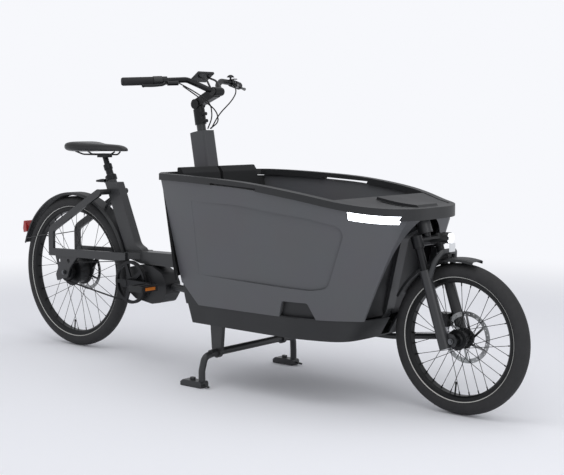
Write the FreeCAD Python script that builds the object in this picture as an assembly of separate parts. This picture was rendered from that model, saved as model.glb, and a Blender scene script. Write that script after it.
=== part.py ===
import FreeCAD, Part
import math
import os

V = FreeCAD.Vector

# Cargo bicycle, millimetres. X forward, Y to the rider's left, Z up.
# The working frame has the rear axle over x = 0 and the ground at z = 0; save() moves every
# piece so that the middle of the whole length lies over the origin.

# ---- driving dimensions -------------------------------------------------------------------
WHEELBASE = 1980.0
CLEARANCE = 0.3            # running gap between pieces that move on each other
REAR_TYRE_RADIUS = 334.0
FRONT_TYRE_RADIUS = 260.0
TYRE_WIDTH = 56.0
TYRE_WALL = 4.0
RIM_WIDTH = 38.0
SPOKE_RADIUS = 1.1
SPOKE_COUNT = 32
AXLE_RADIUS = 6.0
BRAKE_DISC_RADIUS = 90.0
BRAKE_DISC_THICKNESS = 2.0
REAR_HUB_RADIUS = 54.0
REAR_FLANGE_SPACING = 66.0
FRONT_HUB_RADIUS = 27.0
FRONT_FLANGE_SPACING = 48.0
REAR_DROPOUT_SPACING = 136.0
FRONT_DROPOUT_SPACING = 100.0

STAY_SPACING = 148.0       # between the middles of the two side rails
STAY_WIDTH = 14.0
STAY_DEPTH = 30.0
BEAM_WIDTH = 60.0
BEAM_TOP_Z = 459.0
BEAM_BOTTOM_Z = 398.0
SEAT_TUBE_WIDTH = 40.0
SEAT_ANGLE = 22.8          # degrees back from upright
SEAT_TOP = V(238, 0, 740)
SEAT_POST_RADIUS = 15.6
SADDLE_TOP_Z = 918.0

CRANK_X = 412.0
CRANK_Z = 324.0
CRANK_LENGTH = 170.0
SPINDLE_RADIUS = 10.0
BELT_PITCH = 11.0
BELT_TEETH_FRONT = 50
BELT_TEETH_REAR = 22
BELT_WIDTH = 11.0
BELT_THICKNESS = 3.0
BELT_LINE_Y = -58.0
CRANK_ARM_Y = -92.0

COLUMN_LEAN = 10.0         # degrees back from upright
COLUMN_POINT = V(785, 0, 885)
COLUMN_RADIUS = 18.0
HOUSING_LENGTH = 85.0
HOUSING_WIDTH = 66.0
HOUSING_TOP_Z = 958.0
BAR_RADIUS = 11.1
BAR_CLAMP = V(854, 0, 1114)
GRIP_RADIUS = 16.0
GRIP_LENGTH = 118.0
LINK_ARM_Y = 118.0         # steering rod's offset from the middle
ROD_RADIUS = 11.0
ROD_REAR_Z = 203.0
ROD_FRONT_Z = 256.0
LINK_ARM_X = -40.0          # and how far it lies behind each steering axis
MASTER_REACH = 29.0        # brake cylinder ahead of the bar

FORK_LEAN = 18.0           # degrees back from upright
FORK_OFFSET = 30.0         # the axle's lead on the leg's centre line
FORK_LEG_Y = 65.0
FORK_LEG_RADIUS = 19.0
STANCHION_RADIUS = 14.0
FORK_TRAVEL = 14.0
ARCH_Z = 556.0
HEAD_TUBE_RADIUS = 25.0
HEAD_TUBE_TOP_Z = 682.0
HEAD_TUBE_BOTTOM_Z = 612.0

BASE_BOTTOM_Z = 237.0
BASE_TOP_Z = 310.0
BASE_WALL = 6.0
PANEL_TOP_Z = 800.0        # the level that the upper outline below is drawn at
PANEL_WALL = 10.0
PRESSING_DEPTH = 7.0
RIM_HEIGHT = 24.0
RIM_BREADTH = 34.0
RIM_OVERHANG = 5.0
LINER_WALL = 6.0
HOOD_SKIRT = 40.0

STAND_AXIS = V(1030, 0, 124)
STAND_TUBE_RADIUS = 14.0
STAND_ARM_Y = 190.0
STAND_FOOT_Y = 272.0

MUDGUARD_GAP = 14.0
LIGHT_REAR_X = -358.0

ORIGIN_X = (WHEELBASE + FRONT_TYRE_RADIUS + LIGHT_REAR_X) / 2

# (x, half width) of the box's side: low outline at the base's top, high outline at PANEL_TOP_Z
LOW_OUTLINE = [(934, 262), (1080, 267), (1220, 270), (1360, 271), (1460, 267), (1540, 252),
               (1610, 225), (1670, 190), (1720, 150), (1752, 88), (1760, 0)]
HIGH_OUTLINE = [(844, 306), (1000, 330), (1150, 342), (1300, 347), (1450, 348), (1570, 338),
                (1670, 316), (1765, 270), (1846, 212), (1886, 136), (1896, 0)]
# (x, z) along the top of the rim, falling towards the front
RIM_LINE = [(730, 800), (950, 800), (1150, 792), (1300, 783), (1450, 766), (1600, 742),
            (1750, 714), (1850, 705), (1900, 702)]
# (y, x, z) from the middle of the handlebar to the end of its left side
BAR_ROUTE = [(0, 854, 1114), (26, 848, 1117), (58, 806, 1141), (98, 786, 1159), (170, 774, 1155),
             (332, 673, 1148)]

# ---- derived values -----------------------------------------------------------------------
REAR_AXLE = V(0, 0, REAR_TYRE_RADIUS)
FRONT_AXLE = V(WHEELBASE, 0, FRONT_TYRE_RADIUS)
CRANK_AXIS = V(CRANK_X, 0, CRANK_Z)
SEAT_AXIS = V(-math.sin(math.radians(SEAT_ANGLE)), 0, math.cos(math.radians(SEAT_ANGLE)))
COLUMN_AXIS = V(-math.sin(math.radians(COLUMN_LEAN)), 0, math.cos(math.radians(COLUMN_LEAN)))
FORK_AXIS = V(-math.sin(math.radians(FORK_LEAN)), 0, math.cos(math.radians(FORK_LEAN)))
LEG_FOOT = FRONT_AXLE - V(FORK_OFFSET, 0, 0)
RING_RADIUS = BELT_TEETH_FRONT * BELT_PITCH / (2 * math.pi)
SPROCKET_RADIUS = BELT_TEETH_REAR * BELT_PITCH / (2 * math.pi)
STAY_Y = STAY_SPACING / 2
LEFT, RIGHT = 1, -1
SIDES = (LEFT, RIGHT)


# ---- shapes -------------------------------------------------------------------------------
def block(x0, x1, y0, y1, z0, z1):
    return Part.makeBox(x1 - x0, y1 - y0, z1 - z0, V(x0, y0, z0))


def rod(start, end, radius):
    return Part.makeCylinder(radius, (end - start).Length, start, end - start)


def tube(start, end, radius, bore):
    return rod(start, end, radius).cut(rod(start, end, bore))


def across(x, z, radius, y0, y1):
    return Part.makeCylinder(radius, y1 - y0, V(x, y0, z), V(0, 1, 0))


def ring(x, z, radius, bore, y0, y1):
    return across(x, z, radius, y0, y1).cut(across(x, z, bore, y0, y1))


def turned(profile, centre, degrees=360, start=0):
    """A solid of revolution about the Y axis through centre, from (y, radius) points."""
    points = [V(0, y, r) for y, r in profile]
    face = Part.Face(Part.makePolygon(points + points[:1]))
    solid = face.revolve(V(0, 0, 0), V(0, 1, 0), degrees)
    solid.rotate(V(0, 0, 0), V(0, 1, 0), start)
    solid.translate(centre)
    return solid


def route(points, radius, closed=False):
    """A wire of straight runs joined by tangent arcs; radius is one value or one per corner."""
    count = len(points)
    radii = radius if isinstance(radius, list) else [radius] * count
    corners = []
    for i, corner in enumerate(points):
        back = points[i - 1] - corner
        ahead = points[(i + 1) % count] - corner
        half = back.getAngle(ahead) / 2
        if radii[i] == 0 or (not closed and i in (0, count - 1)) or half > math.pi / 2 - 1e-4:
            corners.append((corner, None, corner))
            continue
        back.normalize()
        ahead.normalize()
        inward = (back + ahead).normalize()
        reach = radii[i] / math.tan(half)
        middle = corner + inward * (radii[i] / math.sin(half) - radii[i])
        corners.append((corner + back * reach, middle, corner + ahead * reach))
    edges = []
    for i, (first, middle, last) in enumerate(corners):
        if middle:
            edges.append(Part.Arc(first, middle, last).toShape())
        follow = corners[(i + 1) % count][0]
        if (closed or i < count - 1) and (follow - last).Length > 1e-6:
            edges.append(Part.LineSegment(last, follow).toShape())
    return Part.Wire(edges)


def slab(outline, y0, y1, radius=0):
    """An (x, z) outline, its corners rounded, extruded from y0 to y1."""
    wire = route([V(x, y0, z) for x, z in outline], radius, closed=True)
    return Part.Face(wire).extrude(V(0, y1 - y0, 0))


def plan(outline, z0, z1, radius=0):
    """An (x, y) outline, its corners rounded, extruded from z0 to z1."""
    wire = route([V(x, y, z0) for x, y in outline], radius, closed=True)
    return Part.Face(wire).extrude(V(0, 0, z1 - z0))


def pipe(points, radius, bend, wall=0):
    """A round bar or tube along straight runs joined by tangent arcs."""
    path = route(points, bend)
    start = points[0]
    along = points[1] - points[0]
    solid = path.makePipeShell([Part.Wire(Part.makeCircle(radius, start, along))], True, False)
    if wall:
        inner = Part.Wire(Part.makeCircle(radius - wall, start, along))
        solid = solid.cut(path.makePipeShell([inner], True, False))
    return solid


def strip(points, y, depth, width, bend):
    """A flat bar, depth deep in the XZ plane and width wide in Y, along (x, z) points."""
    path = [V(x, y, z) for x, z in points]
    along = (path[1] - path[0]).normalize()
    normal = V(-along.z, 0, along.x) * (depth / 2)
    side = V(0, width / 2, 0)
    corners = [path[0] + normal + side, path[0] + normal - side,
               path[0] - normal - side, path[0] - normal + side]
    profile = Part.makePolygon(corners + corners[:1])
    return route(path, bend).makePipeShell([profile], True, False)


def mirrored(shape):
    return shape.mirror(V(0, 0, 0), V(0, 1, 0))


def soften(shape, radius, test):
    """Fillets the edges whose middle point and direction pass the test."""
    chosen = []
    for edge in shape.Edges:
        middle = edge.valueAt((edge.FirstParameter + edge.LastParameter) / 2)
        if test(middle, edge):
            chosen.append(edge)
    return shape.makeFillet(radius, chosen)


def along_axis(point, axis, distance):
    return point + axis * distance


def at_height(point, axis, z):
    """The point of a leaning axis at height z."""
    return point + axis * ((z - point.z) / axis.z)


def leaning(shape, point, degrees):
    """Tilts an upright shape back about the Y axis through point."""
    shape.rotate(point, V(0, 1, 0), -degrees)
    return shape


def save(name, *shapes):
    solids = [solid for shape in shapes for solid in shape.Solids]
    group = Part.makeCompound(solids)
    group.translate(V(-ORIGIN_X, 0, 0))
    group.exportStep("parts/" + name + ".step")
    bad = [i for i, solid in enumerate(solids) if not solid.isValid() or solid.Volume <= 0]
    print(name, len(solids), round(group.Volume / 1000, 2), "cm3", "BAD" if bad else "")


# ---- wheels -------------------------------------------------------------------------------
def tyre(centre, radius):
    """The cover: a hollow ring, open towards the rim, with its tube's valve left to the rim."""
    half = TYRE_WIDTH / 2
    middle = radius - half
    cover = Part.makeTorus(middle, half, centre, V(0, 1, 0))
    hollow = Part.makeTorus(middle, half - TYRE_WALL, centre, V(0, 1, 0))
    mouth_width = RIM_WIDTH - 16
    mouth = across(centre.x, centre.z, middle - half / 2, -mouth_width / 2, mouth_width / 2)
    return cover.cut(hollow).cut(mouth)


def rim_floor(radius):
    return radius - TYRE_WIDTH - 10


def rim(centre, radius):
    """The aluminium rim and the valve stem that comes through it."""
    edge = radius - 50
    floor = rim_floor(radius)
    half = RIM_WIDTH / 2
    profile = [(-half, edge), (-half + 1.6, edge), (-half + 1.6, floor + 7), (-8, floor + 3.5),
               (8, floor + 3.5), (half - 1.6, floor + 7), (half - 1.6, edge), (half, edge),
               (half, floor + 6), (12, floor), (-12, floor), (-half, floor + 6)]
    valve_foot = floor - 34
    valve = rod(centre + V(0, 0, valve_foot), centre + V(0, 0, floor - 0.2), 3)
    cap = rod(centre + V(0, 0, valve_foot - 9), centre + V(0, 0, valve_foot), 4)
    stem = valve.fuse(cap)
    stem.rotate(centre, V(0, 1, 0), 180 + 180 / SPOKE_COUNT)
    return [turned(profile, centre), stem]


def spokes(centre, radius, hole_radius, flange_y, crossing):
    """Steel spokes with their nipples, laid in crossing pairs from each flange to the rim."""
    floor = rim_floor(radius)
    side_step = 3.9
    bars = []
    for k in range(SPOKE_COUNT):
        side = LEFT if k % 2 else RIGHT
        turn = 1 if (k // 2) % 2 else -1
        rim_angle = math.radians(360 / SPOKE_COUNT * k)
        hub_angle = rim_angle + math.radians(crossing) * turn
        outward = V(math.cos(rim_angle), 0, math.sin(rim_angle))
        hub_way = V(math.cos(hub_angle), 0, math.sin(hub_angle))
        start = centre + hub_way * hole_radius + V(0, side * flange_y + turn * side_step, 0)
        end = centre + outward * (floor - 0.3)
        back = (start - end).normalize()
        nipple = rod(end + back * 12, end, 2.2)
        bars.append(rod(start, end, SPOKE_RADIUS).fuse(nipple))
    return bars


def brake_disc(centre, y, bolt_radius):
    """A ventilated steel disc with curved windows between its rim and its bolted middle."""
    y1 = y + BRAKE_DISC_THICKNESS
    disc = ring(centre.x, centre.z, BRAKE_DISC_RADIUS, 17, y, y1)
    inner, outer = bolt_radius + 9, BRAKE_DISC_RADIUS - 16
    window_band = ring(centre.x, centre.z, outer, inner, y, y1)
    arms = []
    for k in range(6):
        angle = math.radians(60 * k)
        foot = centre + V(math.cos(angle), 0, math.sin(angle)) * (bolt_radius + 2)
        head_angle = angle + math.radians(32)
        head = centre + V(math.cos(head_angle), 0, math.sin(head_angle)) * (outer + 4)
        along = (head - foot).normalize()
        width = V(-along.z, 0, along.x) * 4
        corners = [foot + width, foot - width, head - width, head + width]
        arms.append(slab([(p.x, p.z) for p in corners], y, y1))
    windows = window_band.cut(arms[0].multiFuse(arms[1:]))
    disc = disc.cut(windows)
    holes = []
    for k in range(30):
        angle = math.radians(12 * k)
        distance = BRAKE_DISC_RADIUS - 5 - 4 * (k % 3) * 0.9
        spot = centre + V(math.cos(angle), 0, math.sin(angle)) * distance
        holes.append(across(spot.x, spot.z, 1.9, y, y1))
    return disc.cut(holes[0].multiFuse(holes[1:]))


def hub(centre, body, flange, flange_y, boss_end):
    """A hub shell with two flanges, and a boss on its left that reaches out to the disc."""
    bore = AXLE_RADIUS + 6
    profile = [(-flange_y - 8, bore), (-flange_y - 8, bore + 8), (-flange_y - 1.5, bore + 12),
               (-flange_y - 1.5, flange), (-flange_y + 1.5, flange), (-flange_y + 4, body),
               (flange_y - 4, body), (flange_y - 1.5, flange), (flange_y + 1.5, flange),
               (flange_y + 1.5, bore + 14), (boss_end, bore + 14), (boss_end, bore)]
    return turned(profile, centre)


def axle(centre, spacing, bearing_ys, plate):
    """A fixed axle with a nut outside each dropout, and the hub's two bearings."""
    reach = spacing / 2 + plate
    nuts = [across(centre.x, centre.z, AXLE_RADIUS + 4, reach + 0.2, reach + 8.2),
            across(centre.x, centre.z, AXLE_RADIUS + 4, -reach - 8.2, -reach - 0.2)]
    shaft = across(centre.x, centre.z, AXLE_RADIUS, -reach - 12, reach + 12)
    bearings = []
    for y in bearing_ys:
        bearings.append(ring(centre.x, centre.z, AXLE_RADIUS + 6 - CLEARANCE,
                             AXLE_RADIUS + CLEARANCE, y - 4, y + 4))
    return [shaft.fuse(nuts[0]).fuse(nuts[1])] + bearings


def make_wheels():
    rear_flange_y = REAR_FLANGE_SPACING / 2
    rear_disc_y = REAR_DROPOUT_SPACING / 2 - 12
    save("rear_tyre", tyre(REAR_AXLE, REAR_TYRE_RADIUS))
    save("rear_rim", *rim(REAR_AXLE, REAR_TYRE_RADIUS))
    save("rear_spokes", *spokes(REAR_AXLE, REAR_TYRE_RADIUS, REAR_HUB_RADIUS + 5, rear_flange_y, 34))
    save("rear_hub", hub(REAR_AXLE, REAR_HUB_RADIUS, REAR_HUB_RADIUS + 9, rear_flange_y, rear_disc_y))
    save("rear_disc", brake_disc(REAR_AXLE, rear_disc_y, 22))
    bearing_y = rear_flange_y + 3
    save("rear_axle", *axle(REAR_AXLE, REAR_DROPOUT_SPACING, (-bearing_y, bearing_y), 8))

    front_flange_y = FRONT_FLANGE_SPACING / 2
    front_disc_y = FRONT_DROPOUT_SPACING / 2 - 11
    save("front_tyre", tyre(FRONT_AXLE, FRONT_TYRE_RADIUS))
    save("front_rim", *rim(FRONT_AXLE, FRONT_TYRE_RADIUS))
    save("front_spokes", *spokes(FRONT_AXLE, FRONT_TYRE_RADIUS, FRONT_HUB_RADIUS + 5,
                                 front_flange_y, 55))
    save("front_hub", hub(FRONT_AXLE, FRONT_HUB_RADIUS, FRONT_HUB_RADIUS + 9, front_flange_y,
                          front_disc_y))
    save("front_disc", brake_disc(FRONT_AXLE, front_disc_y, 22))
    bearing_y = front_flange_y + 2
    save("front_axle", *axle(FRONT_AXLE, FRONT_DROPOUT_SPACING, (-bearing_y, bearing_y), 10))


# ---- frame --------------------------------------------------------------------------------
def column_bore():
    """The room that the steering column turns in."""
    radius = COLUMN_RADIUS + 4
    low = at_height(COLUMN_POINT, COLUMN_AXIS, 150)
    high = at_height(COLUMN_POINT, COLUMN_AXIS, 1100)
    return rod(low, high, radius)


def main_frame():
    """Welded beam, seat tube, column tube, chassis under the box, and the boom to the head tube."""
    half = BEAM_WIDTH / 2
    beam = slab([(372, 418), (372, 452), (900, BEAM_TOP_Z), (900, BEAM_BOTTOM_Z), (440, 402)],
                -half, half, [6, 6, 0, 0, 20])
    yoke_half = STAY_Y - STAY_WIDTH / 2
    yoke = plan([(366, -yoke_half), (366, yoke_half), (392, yoke_half), (440, half), (440, -half),
                 (392, -yoke_half)], 420, 448, [4, 4, 6, 12, 12, 6])
    seat = slab([(212, 738), (288, 740), (373, 538), (398, 478), (452, 454), (440, 430),
                 (356, 430), (337, 452)], -SEAT_TUBE_WIDTH / 2, SEAT_TUBE_WIDTH / 2,
                [3, 6, 60, 40, 30, 0, 0, 12])
    stub = rod(at_height(SEAT_TOP, SEAT_AXIS, 715), at_height(SEAT_TOP, SEAT_AXIS, 768),
               SEAT_POST_RADIUS + 4)
    column_low = at_height(COLUMN_POINT, COLUMN_AXIS, 262)
    column_high = at_height(COLUMN_POINT, COLUMN_AXIS, 520)
    sleeve = rod(column_low, column_high, COLUMN_RADIUS + 12)
    floor_z = BASE_BOTTOM_Z + BASE_WALL
    chassis = slab([(880, 262), (880, 300), (1560, 300), (1628, 330), (1700, 620), (1790, 664),
                    (1815, 625), (1752, 592), (1690, 330), (1640, 262)], -24, 24,
                   [4, 4, 90, 60, 60, 4, 4, 40, 70, 40])
    head_low = at_height(LEG_FOOT, FORK_AXIS, HEAD_TUBE_BOTTOM_Z)
    head_high = at_height(LEG_FOOT, FORK_AXIS, HEAD_TUBE_TOP_Z)
    head = rod(head_low, head_high, HEAD_TUBE_RADIUS)
    arms = []
    for side in SIDES:
        y = side * STAND_ARM_Y
        arm = slab([(1000, BASE_BOTTOM_Z - 0.5), (1062, BASE_BOTTOM_Z - 0.5), (1052, 124),
                    (1008, 124)], y - 9, y + 9, [0, 0, 16, 16])
        arm = arm.fuse(across(STAND_AXIS.x, STAND_AXIS.z, 21, y - 9, y + 9))
        arms.append(arm)
    lower_bar = rod(V(604, 0, 317), V(904, 0, 288), 14)
    frame = beam.multiFuse([yoke, seat, stub, sleeve, chassis, head, lower_bar])
    frame = frame.cut(rod(at_height(SEAT_TOP, SEAT_AXIS, 470), at_height(SEAT_TOP, SEAT_AXIS, 800),
                          SEAT_POST_RADIUS + CLEARANCE))
    frame = frame.cut(column_bore())
    frame = frame.cut(rod(at_height(LEG_FOOT, FORK_AXIS, 590), at_height(LEG_FOOT, FORK_AXIS, 720),
                          HEAD_TUBE_RADIUS - 4))
    swing = STAND_TUBE_RADIUS + CLEARANCE
    arms = [arm.cut(across(STAND_AXIS.x, STAND_AXIS.z, swing, -400, 400)) for arm in arms]
    return [frame] + arms


def stay(side):
    """One side of the rear end: the loop from the seat tube down, the rail and the dropout."""
    y = side * STAY_Y
    half = STAY_WIDTH / 2
    upper = [(236, 696), (150, 650), (-84, 520), (-84, 404)]
    loop = strip(upper, y, STAY_DEPTH, STAY_WIDTH, 34)
    rail = slab([(-99, 404), (-99, 436), (400, 448), (400, 418), (330, 410)], y - half, y + half,
                [8, 0, 0, 0, 20])
    plate_inner = REAR_DROPOUT_SPACING / 2
    y0, y1 = sorted((side * plate_inner, side * (plate_inner + 8)))
    dropout = slab([(-62, 410), (92, 410), (64, 386), (34, 352), (18, 310), (-18, 304),
                    (-50, 292), (-58, 322), (-42, 352)], y0, y1,
                   [0, 0, 12, 16, 12, 8, 6, 6, 20])
    dropout = dropout.cut(across(-36, 384, 9, y0, y1)).cut(across(28, 386, 9, y0, y1))
    dropout = dropout.cut(across(0, REAR_TYRE_RADIUS, AXLE_RADIUS, y0, y1))
    shape = loop.fuse(rail).fuse(dropout)
    bridge_y0, bridge_y1 = sorted((side * SEAT_TUBE_WIDTH / 2, side * (STAY_Y + half)))
    bridge = across(238, 697, 12, bridge_y0, bridge_y1)
    return shape.fuse(bridge)


def mudguard(centre, radius, half_width, start, sweep):
    """A thin guard with turned-down lips, wrapped round the tyre by sweep degrees."""
    inner = radius + MUDGUARD_GAP
    profile = [(-half_width, inner - 8), (-half_width, inner), (-half_width + 6, inner + 4),
               (half_width - 6, inner + 4), (half_width, inner), (half_width, inner - 8),
               (half_width - 2, inner - 8), (half_width - 2, inner - 1),
               (half_width - 7, inner + 2), (-half_width + 7, inner + 2),
               (-half_width + 2, inner - 1), (-half_width + 2, inner - 8)]
    return turned(profile, centre, sweep, start)


def rear_mudguard():
    """The rear guard with its two wire stays and the bracket to the seat tube."""
    guard = mudguard(REAR_AXLE, REAR_TYRE_RADIUS, 33, -72, 146)
    outer = REAR_TYRE_RADIUS + MUDGUARD_GAP + 4
    pieces = [guard]
    for side in SIDES:
        lip = REAR_AXLE + V(-math.cos(math.radians(22)), 0, math.sin(math.radians(22))) * (outer - 9)
        lip.y = side * 31.5
        foot = V(-101, side * (STAY_Y - STAY_WIDTH / 2 + 1), 500)
        pieces.append(rod(lip, foot, 2))
    tab_way = V(math.cos(math.radians(56)), 0, math.sin(math.radians(56)))
    pieces.append(rod(REAR_AXLE + tab_way * (outer - 1), REAR_AXLE + tab_way * (outer + 44), 6))
    guard = guard.multiFuse(pieces[1:])
    seat = slab([(212, 738), (288, 740), (373, 538), (337, 452)], -SEAT_TUBE_WIDTH / 2,
                SEAT_TUBE_WIDTH / 2)
    rails = [strip([(236, 696), (150, 650), (-84, 520), (-84, 404)], side * STAY_Y,
                   STAY_DEPTH + 2 * CLEARANCE, STAY_WIDTH + 2 * CLEARANCE, 34) for side in SIDES]
    return guard.cut(seat).cut(rails[0]).cut(rails[1])


def rear_light():
    lens_z = 516
    body = slab([(-332, lens_z - 24), (-340, lens_z + 26), (-352, lens_z + 24),
                 (LIGHT_REAR_X, lens_z - 10), (LIGHT_REAR_X + 4, lens_z - 30)], -20, 20,
                [4, 4, 4, 4, 4])
    guard = across(REAR_AXLE.x, REAR_AXLE.z, REAR_TYRE_RADIUS + MUDGUARD_GAP + 4 + CLEARANCE,
                   -60, 60)
    return body.cut(guard)


def rear_caliper():
    """The rear brake caliper, astride the disc on the left, carried by the dropout plate."""
    y = REAR_DROPOUT_SPACING / 2 - 12
    body = block(-20, 44, y - 16, REAR_DROPOUT_SPACING / 2 - CLEARANCE, 396, 424)
    slot = across(0, REAR_TYRE_RADIUS, BRAKE_DISC_RADIUS + 2, y - 1.2, y + 3.2)
    return soften(body, 3, lambda p, e: p.y < y - 15).cut(slot).cut(stay(LEFT))


def motor():
    """The mid motor's casing, hung under the beam, bored for the crank spindle."""
    casing = slab([(358, 330), (372, 284), (420, 254), (520, 240), (574, 250), (602, 290),
                   (602, 330), (580, 372), (520, 397.7), (440, 397.7), (380, 384)], -42, 42,
                  [20, 20, 20, 20, 24, 16, 16, 20, 6, 6, 20])
    cover = across(468, 318, 52, -47, 47)
    casing = casing.fuse(cover)
    return casing.cut(across(CRANK_X, CRANK_Z, SPINDLE_RADIUS + CLEARANCE, -60, 60))


def seat_clamp():
    low = at_height(SEAT_TOP, SEAT_AXIS, 747)
    high = at_height(SEAT_TOP, SEAT_AXIS, 765)
    collar = rod(low, high, SEAT_POST_RADIUS + 9)
    middle = (low + high) * 0.5
    ears = block(middle.x - 42, middle.x - 14, -9, 9, middle.z - 7, middle.z + 7)
    ears = leaning(ears, middle, SEAT_ANGLE)
    clamp = collar.fuse(ears)
    clamp = clamp.cut(rod(low - SEAT_AXIS * 60, high + SEAT_AXIS * 20, SEAT_POST_RADIUS + 4))
    split = leaning(block(middle.x - 60, middle.x - 10, -1, 1, middle.z - 20, middle.z + 20),
                    middle, SEAT_ANGLE)
    clamp = clamp.cut(split)
    pin_x, pin_z = seat_pin()
    return clamp.cut(across(pin_x, pin_z, 3 + CLEARANCE, -20, 20))


def seat_pin():
    """Where the seat clamp's pin crosses, in XZ."""
    middle = at_height(SEAT_TOP, SEAT_AXIS, 756)
    turn = math.radians(SEAT_ANGLE)
    return middle.x - 34 * math.cos(turn), middle.z - 34 * math.sin(turn)


def seat_lever():
    """The clamp's pin with its cam lever, closed along the clamp's right side."""
    x, z = seat_pin()
    pin = across(x, z, 3, -20, 14)
    cap = across(x, z, 6, 10, 14)
    lever = slab([(x + 6, z + 7), (x - 6, z + 8), (x - 44, z + 2), (x - 46, z - 6), (x - 6, z - 7),
                  (x + 6, z - 6)], -20, -10, [4, 0, 3, 3, 0, 4])
    return pin.fuse(cap).fuse(lever)


def make_frame():
    frame, *arms = main_frame()
    save("main_frame", frame, *arms)
    save("rear_stays", stay(LEFT), stay(RIGHT))
    save("rear_mudguard", rear_mudguard())
    save("rear_light", rear_light())
    save("rear_caliper", rear_caliper())
    save("motor", motor())
    save("seat_clamp", seat_clamp())
    save("seat_lever", seat_lever())


# ---- saddle -------------------------------------------------------------------------------
def seatpost():
    """The post with its sprung sleeve, the head that grips the rails, and the two rails."""
    low = at_height(SEAT_TOP, SEAT_AXIS, 560)
    shoulder = at_height(SEAT_TOP, SEAT_AXIS, 796)
    neck = at_height(SEAT_TOP, SEAT_AXIS, 812)
    top = at_height(SEAT_TOP, SEAT_AXIS, 852)
    post = rod(low, shoulder, SEAT_POST_RADIUS)
    collar = rod(shoulder - SEAT_AXIS * 4, neck, SEAT_POST_RADIUS + 3)
    upper = rod(neck, top, SEAT_POST_RADIUS - 3.5)
    head = block(top.x - 26, top.x + 26, -20, 20, top.z - 9, top.z + 8)
    rails = []
    for side in SIDES:
        points = [V(40, side * 34, 868), (V(80, side * 24, top.z + 3)),
                  V(top.x + 60, side * 22, top.z + 3), V(272, side * 16, 868)]
        rails.append(pipe(points, 3.5, 40))
    body = post.multiFuse([collar, upper, head])
    for bar in rails:
        body = body.cut(bar)
    return [body] + rails


def saddle():
    """A plain closed solid for the padded seat, narrow at the nose and broad behind."""
    top = SADDLE_TOP_Z
    side_view = [(-4, top - 34), (8, top - 4), (40, top), (140, top - 14), (250, top - 18),
                 (312, top - 22), (336, top - 48), (322, top - 60), (200, top - 44),
                 (60, top - 50), (10, top - 54)]
    half_plan = [(-6, 60), (20, 88), (70, 92), (140, 56), (200, 30), (300, 21), (338, 12)]
    outline = half_plan + [(x, -y) for x, y in reversed(half_plan)]
    body = plan(outline, 800, 1000, [14, 40, 30, 60, 60, 20, 8, 8, 20, 60, 60, 30, 40, 14])
    profile = slab(side_view, -200, 200, [10, 8, 0, 60, 0, 8, 8, 4, 0, 60, 4])
    return body.common(profile)


def make_saddle():
    post, *rails = seatpost()
    seat = saddle()
    for bar in rails:
        seat = seat.cut(bar)
    save("seatpost", post, *rails)
    save("saddle", seat)


# ---- drive --------------------------------------------------------------------------------
def pulley_loop(grow):
    """The outline of a band round both pulleys, grow outside their toothed edge."""
    front, rear = RING_RADIUS + grow, SPROCKET_RADIUS + grow
    apart = CRANK_AXIS - REAR_AXLE
    tilt = math.acos((front - rear) / apart.Length)
    heading = math.atan2(apart.z, apart.x)

    def spot(centre, radius, angle):
        return V(centre.x + radius * math.cos(angle), BELT_LINE_Y - BELT_WIDTH / 2,
                 centre.z + radius * math.sin(angle))

    upper, lower = heading + math.pi - tilt, heading + math.pi + tilt
    front_top, front_low = spot(CRANK_AXIS, front, upper), spot(CRANK_AXIS, front, lower)
    rear_top, rear_low = spot(REAR_AXLE, rear, upper), spot(REAR_AXLE, rear, lower)
    return Part.Wire([
        Part.Arc(front_low, spot(CRANK_AXIS, front, heading), front_top).toShape(),
        Part.LineSegment(front_top, rear_top).toShape(),
        Part.Arc(rear_top, spot(REAR_AXLE, rear, heading + math.pi), rear_low).toShape(),
        Part.LineSegment(rear_low, front_low).toShape()])


def belt():
    width = V(0, BELT_WIDTH, 0)
    outer = Part.Face(pulley_loop(0.5 + BELT_THICKNESS)).extrude(width)
    inner = Part.Face(pulley_loop(0.5)).extrude(width)
    return outer.cut(inner)


def toothed(centre, radius, teeth, y0, y1):
    """A pulley rim with a shallow notch between each pair of teeth."""
    disc = across(centre.x, centre.z, radius, y0, y1)
    notches = []
    for k in range(teeth):
        angle = 2 * math.pi * k / teeth
        notches.append(across(centre.x + radius * math.cos(angle),
                              centre.z + radius * math.sin(angle), 2.4, y0, y1))
    return disc.cut(notches[0].multiFuse(notches[1:]))


def chainring():
    """The belt ring with five arms, bolted to the right crank."""
    y0, y1 = BELT_LINE_Y - BELT_WIDTH / 2, BELT_LINE_Y + BELT_WIDTH / 2
    band = toothed(CRANK_AXIS, RING_RADIUS, BELT_TEETH_FRONT, y0, y1)
    band = band.cut(across(CRANK_X, CRANK_Z, RING_RADIUS - 9, y0, y1))
    plate_y0 = y0 - 3
    arms = []
    for k in range(5):
        arm = slab([(CRANK_X, CRANK_Z - 13), (CRANK_X + RING_RADIUS - 7, CRANK_Z - 7),
                    (CRANK_X + RING_RADIUS - 7, CRANK_Z + 7), (CRANK_X, CRANK_Z + 13)],
                   plate_y0, y0 + 4)
        arm.rotate(CRANK_AXIS, V(0, 1, 0), 72 * k + 36)
        arms.append(arm)
    guard = ring(CRANK_X, CRANK_Z, RING_RADIUS + 2, RING_RADIUS - 9, plate_y0, y0)
    plate = arms[0].multiFuse(arms[1:] + [across(CRANK_X, CRANK_Z, 24, plate_y0, y0 + 4), guard])
    shape = band.fuse(plate)
    return shape.cut(across(CRANK_X, CRANK_Z, SPINDLE_RADIUS, -100, 0))


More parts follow.
